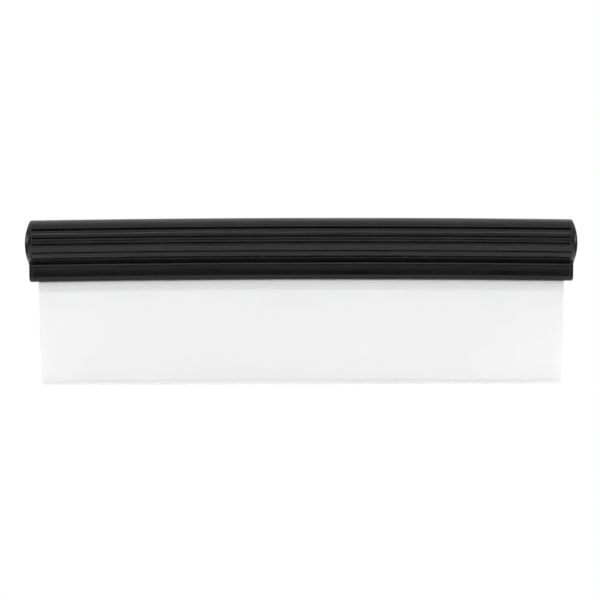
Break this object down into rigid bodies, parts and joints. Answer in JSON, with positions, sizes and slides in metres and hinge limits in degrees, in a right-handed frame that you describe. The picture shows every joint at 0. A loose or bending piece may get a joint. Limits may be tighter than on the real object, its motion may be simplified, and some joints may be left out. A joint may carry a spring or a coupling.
{
  "type": "bench scraper",
  "caption": "Wide hand scraper: a ribbed round grip over smooth jaws, closed by domed end caps, holding a flexible translucent blade with a bevelled edge.",
  "frame": {"origin": "middle of the blade's edge, which is the bottom of the object", "axes": "+X along the blade's edge to the right seen from the front, +Y to the back, +Z from the blade's edge up to the grip"},
  "size_m": [0.321, 0.0248, 0.0968],
  "materials": {
    "core_plastic": "satin black moulded plastic",
    "grip_rubber": "satin black, ribbed lengthways",
    "blade_silicone": "milky translucent, smooth",
    "cap_plastic": "satin black moulded plastic"
  },
  "bodies": {
    "root": {"handle_core": "core_plastic", "grip_sleeve": "grip_rubber", "blade": "blade_silicone", "end_cap_left": "cap_plastic", "end_cap_right": "cap_plastic"}
  },
  "joints": []
}
